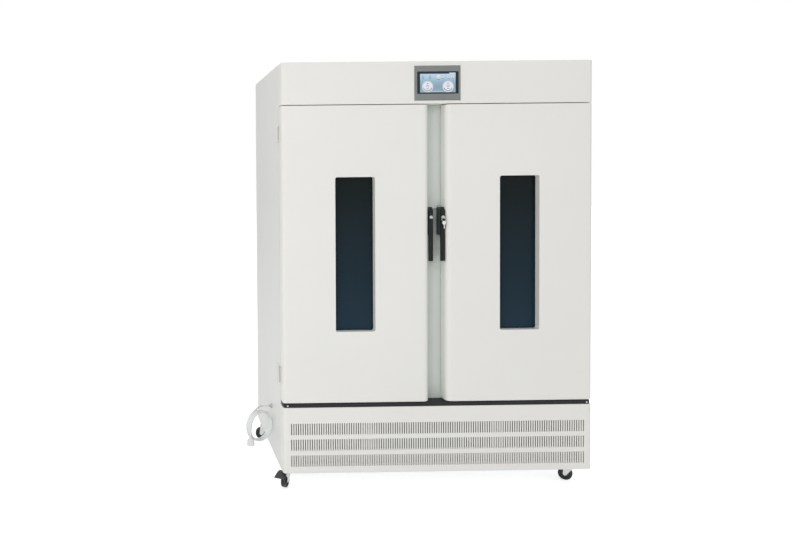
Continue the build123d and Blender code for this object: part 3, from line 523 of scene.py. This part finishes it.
white, grey, teal = bmesh.new(), bmesh.new(), bmesh.new()
for x, figures in ((-46, "25"), (46.5, "60")):
    z = -18
    arc(white, x, z, 0.3, 25, 0, 360, 1, 64)
    arc(grey, x, z, 17.6, 20.2, 196, 344, 2)
    arc(teal, x, z, 21.8, 22.8, 0, 360, 2, 64)
    digits(grey, figures, x, z + 2.5, 8.5, 2)
    panel(grey, x, z + 13.5, 9, 2.2, 2)
    panel(grey, x, z - 9.5, 13, 2.0, 2)
for x in (-67, -35):
    arc(teal, x, 27, 2.4, 5.2, 0, 360, 1)
    panel(grey, x, 18.5, 10, 2.0, 1)
arc(white, 3, 26, 0.3, 8.5, 0, 360, 1)
panel(teal, 3, 24, 8, 4, 2)
panel(grey, 3, 14.5, 12, 2.0, 1)
for x in (23, 49, 67):
    panel(white, x, 26, 10, 9, 1)
    panel(teal, x, 26, 5, 4.5, 2)
    panel(grey, x, 18, 9, 1.6, 1)
panel(white, 0, -39.5, 60, 1.2, 1)
piece("screen_white_fields", white, screen_white)
piece("screen_grey_marks", grey, screen_grey)
piece("screen_teal_marks", teal, screen_teal)


# Keys, screws and pipes
def ring(bm, center, radius, wire, normal, steps=40, sides=10):
    turn = Matrix.Translation(center) @ aim(normal)
    rows = []
    for k in range(steps):
        a = 2 * math.pi * k / steps
        row = []
        for j in range(sides):
            b = 2 * math.pi * j / sides
            r = radius + wire * math.cos(b)
            at = turn @ Vector((r * math.cos(a), r * math.sin(a), wire * math.sin(b)))
            row.append(bm.verts.new(at))
        rows.append(row)
    for k in range(steps):
        low, high = rows[k], rows[(k + 1) % steps]
        for j in range(sides):
            n = (j + 1) % sides
            bm.faces.new((low[j], low[n], high[n], high[j]))


LEVER_X = 0.027
LOCK_Z = 1.248
BOW_Y = -0.4432
RING_RADIUS = 0.0095
bm = bmesh.new()
ring(bm, (LEVER_X, BOW_Y, LOCK_Z - RING_RADIUS), RING_RADIUS, 0.0007, (0, 1, 0))
piece("key_ring", bm, chrome, "lock_right")


def spare_key(bm, top, bow=0.0085, thickness=0.0018):
    """A flat key that hangs from the ring: a round bow and a blade cut along one edge."""
    outline = []
    for k in range(26):
        a = math.radians(-62 + k * 304 / 25)
        outline.append((bow * math.cos(a), -bow + bow * math.sin(a)))
    outline += [
        (-0.0022, -0.0200),
        (-0.0012, -0.0222),
        (-0.0022, -0.0245),
        (-0.0008, -0.0270),
        (-0.0022, -0.0295),
        (-0.0011, -0.0315),
        (-0.0022, -0.0335),
        (0.0, -0.0360),
        (0.0022, -0.0340),
        (0.0022, -0.0190),
    ]
    sheets = []
    for y in (-thickness / 2, thickness / 2):
        sheets.append([bm.verts.new(Vector(top) + Vector((x, y, z))) for x, z in outline])
    front, back = sheets
    bm.faces.new(front)
    bm.faces.new(list(reversed(back)))
    for k in range(len(outline)):
        n = (k + 1) % len(outline)
        bm.faces.new((front[k], back[k], back[n], front[n]))


bm = bmesh.new()
spare_key(bm, (LEVER_X + 0.001, BOW_Y - 0.002, LOCK_Z - 0.0165))
piece("spare_key", bm, chrome, "lock_right", smooth=False)

HINGE_FACE = 0.708
HINGE_HEIGHTS = (1.632, 0.527)
BACK_SHEET = 0.4385
STRIKE_FACE = -0.369
STRIKE_SCREW_Z = 1.2985
heads = {}
for side, side_name in ((-1, "left"), (1, "right")):
    for hinge_z in HINGE_HEIGHTS:
        for dz in (-0.023, 0.023):
            on_door = f"door_{side_name}"
            for y, body in ((-0.345, "cabinet"), (-0.305, "cabinet"), (-0.394, on_door)):
                bm = heads.setdefault(body, bmesh.new())
                at = (side * HINGE_FACE, y, hinge_z + dz)
                screw_head(bm, at, (side, 0, 0), 0.0042, 0.0016)
bm = heads["cabinet"]
for x in (-0.66, -0.22, 0.22, 0.66):
    for z in (0.12, 0.37, 0.9, 1.4, 1.92):
        screw_head(bm, (x, BACK_SHEET, z), (0, 1, 0), 0.0045, 0.0018)
for z in (0.12, 0.35):
    for side in (-1, 1):
        screw_head(bm, (side * HALF, -0.405, z), (side, 0, 0), 0.0035, 0.0014)
for x in (-0.026, 0.026):
    screw_head(bm, (x, STRIKE_FACE, STRIKE_SCREW_Z), (0, -1, 0), 0.0035, 0.0012)
for body, bm in heads.items():
    piece(f"screws_{body}", bm, chrome, body)

tube(
    "suction_pipe",
    [
        (0.17, -0.067, 0.280),
        (0.17, -0.067, 0.312),
        (0.15, -0.03, 0.330),
        (0.06, 0.02, 0.330),
        (0.02, 0.03, 0.330),
        (0.02, 0.03, 0.360),
        (0.02, 0.03, 0.385),
    ],
    0.006,
    copper,
    "cabinet",
)
tube(
    "discharge_pipe",
    [
        (0.12, -0.135, 0.20),
        (0.10, -0.165, 0.20),
        (0.06, -0.19, 0.22),
        (0.06, -0.21, 0.26),
        (0.06, -0.225, 0.30),
        (0.04, -0.235, 0.315),
        (0.0, -0.238, 0.322),
    ],
    0.004,
    copper,
    "cabinet",
)

# White plugs over the screws at the ends of the threshold
PLUG_X = 0.683
PLUG_Z = 0.396
bm = bmesh.new()
for side in (-1, 1):
    lathe(
        bm,
        [(0.0, 0.0016), (0.0028, 0.0014), (0.0036, 0.0006), (0.0038, 0.0), (0.0, -0.001)],
        (side * PLUG_X, FRONT + 0.004, PLUG_Z),
        (0, -1, 0),
        24,
    )
piece("threshold_plugs", bm, bristle)

# Tie round the coiled cord, near where the lead joins it
tie_angle = math.radians(104)
tie_at = (
    coil_center
    + coil_right * (COIL_RADIUS * math.cos(tie_angle))
    + Vector((0, 0, COIL_RADIUS * math.sin(tie_angle)))
)
tangent = coil_right * -math.sin(tie_angle) + Vector((0, 0, math.cos(tie_angle)))
outward = coil_right * math.cos(tie_angle) + Vector((0, 0, math.sin(tie_angle)))
TIE_REACH, TIE_RISE = 0.0198, 0.0072
TIE_SQUARENESS = 0.55
bm = bmesh.new()
loop_steps = 36
rows = []
for k in range(loop_steps):
    a = 2 * math.pi * k / loop_steps
    across, up = (math.copysign(abs(t) ** TIE_SQUARENESS, t) for t in (math.cos(a), math.sin(a)))
    offset = coil_axis * (TIE_REACH * across) + outward * (TIE_RISE * up)
    normal = offset.normalized()
    row = [
        bm.verts.new(tie_at + offset + normal * t + tangent * w)
        for t, w in ((0, -0.0018), (0.0011, -0.0018), (0.0011, 0.0018), (0, 0.0018))
    ]
    rows.append(row)
for k in range(loop_steps):
    low, high_row = rows[k], rows[(k + 1) % loop_steps]
    for j in range(4):
        n = (j + 1) % 4
        bm.faces.new((low[j], low[n], high_row[n], high_row[j]))
tie = piece("cord_tie", bm, bristle)


# Camera, light and floor
scene = bpy.context.scene
scene.view_settings.view_transform = "Standard"
PHOTO_WIDTH, PHOTO_HEIGHT = 795, 550
CAMERA_AT = (-1.29628, -4.1171, 1.43984)
focal_px, centre_x, centre_y = 818.15677, 160.21958, 199.98764
yaw, pitch, roll = -0.01197, 0.02731, 0.01065
cam_data = bpy.data.cameras.new("camera")
cam_data.sensor_width = 36.0
cam_data.lens = focal_px * cam_data.sensor_width / PHOTO_WIDTH
cam_data.shift_x = (PHOTO_WIDTH / 2 - centre_x) / PHOTO_WIDTH
cam_data.shift_y = (centre_y - PHOTO_HEIGHT / 2) / PHOTO_WIDTH
cam_data.clip_start = 0.05
camera = bpy.data.objects.new("camera", cam_data)
scene.collection.objects.link(camera)
turned = (
    Matrix.Rotation(yaw, 4, "Z")
    @ Matrix.Rotation(-pitch, 4, "X")
    @ Matrix.Rotation(roll, 4, "Y")
    @ Matrix.Rotation(math.radians(90), 4, "X")
)
camera.matrix_world = Matrix.Translation(CAMERA_AT) @ turned
scene.camera = camera


def seen_directly(tree):
    """1 for rays that come from the camera, a mirror or through glass, else 0."""
    path = tree.nodes.new("ShaderNodeLightPath")
    total = path.outputs["Is Camera Ray"]
    for output in ("Is Glossy Ray", "Is Transmission Ray"):
        add = tree.nodes.new("ShaderNodeMath")
        add.operation = "MAXIMUM"
        tree.links.new(total, add.inputs[0])
        tree.links.new(path.outputs[output], add.inputs[1])
        total = add.outputs[0]
    return total


AMBIENT = 0.62
FLOOR_LIFT = 0.62
world = bpy.data.worlds.new("studio")
scene.world = world
world.use_nodes = True
tree = world.node_tree
background = tree.nodes["Background"]
background.inputs["Color"].default_value = (1, 1, 1, 1)
strength = tree.nodes.new("ShaderNodeMapRange")
strength.inputs["To Min"].default_value = AMBIENT
strength.inputs["To Max"].default_value = 1.0
tree.links.new(seen_directly(tree), strength.inputs["Value"])
tree.links.new(strength.outputs["Result"], background.inputs["Strength"])


def area_light(name, at, target, size, power):
    data = bpy.data.lights.new(name, "AREA")
    data.shape = "RECTANGLE"
    data.size, data.size_y = size
    data.energy = power
    light = bpy.data.objects.new(name, data)
    scene.collection.objects.link(light)
    light.location = at
    light.rotation_euler = (Vector(target) - Vector(at)).to_track_quat("-Z", "Y").to_euler()
    light.visible_glossy = False


area_light("key", (-2.6, -5.2, 3.4), (0, -0.4, 1.0), (2.6, 2.6), 66)
area_light("low", (-3.2, -3.9, 0.5), (0, -0.4, 0.5), (1.6, 1.0), 36)
area_light("fill", (3.2, -4.6, 2.4), (0, -0.4, 0.9), (2.4, 2.4), 21)
area_light("back", (1.5, 4.6, 3.6), (0, 0.4, 1.0), (3.0, 2.4), 60)

floor_mat = bpy.data.materials.new("floor_pale")
floor_mat.use_nodes = True
tree = floor_mat.node_tree
bsdf = tree.nodes["Principled BSDF"]
bsdf.inputs["Base Color"].default_value = (0.80, 0.80, 0.80, 1)
bsdf.inputs["Roughness"].default_value = 0.9
bsdf.inputs["Specular IOR Level"].default_value = 0.0
glow = tree.nodes.new("ShaderNodeEmission")
lift = tree.nodes.new("ShaderNodeMath")
lift.operation = "MULTIPLY"
lift.inputs[1].default_value = FLOOR_LIFT
tree.links.new(seen_directly(tree), lift.inputs[0])
tree.links.new(lift.outputs[0], glow.inputs["Strength"])
both = tree.nodes.new("ShaderNodeAddShader")
tree.links.new(bsdf.outputs[0], both.inputs[0])
tree.links.new(glow.outputs[0], both.inputs[1])
tree.links.new(both.outputs[0], tree.nodes["Material Output"].inputs["Surface"])
bm = bmesh.new()
bmesh.ops.create_grid(bm, x_segments=8, y_segments=8, size=30)
mesh = bpy.data.meshes.new("floor")
bm.to_mesh(mesh)
bm.free()
floor = bpy.data.objects.new("floor", mesh)
scene.collection.objects.link(floor)
mesh.materials.append(floor_mat)
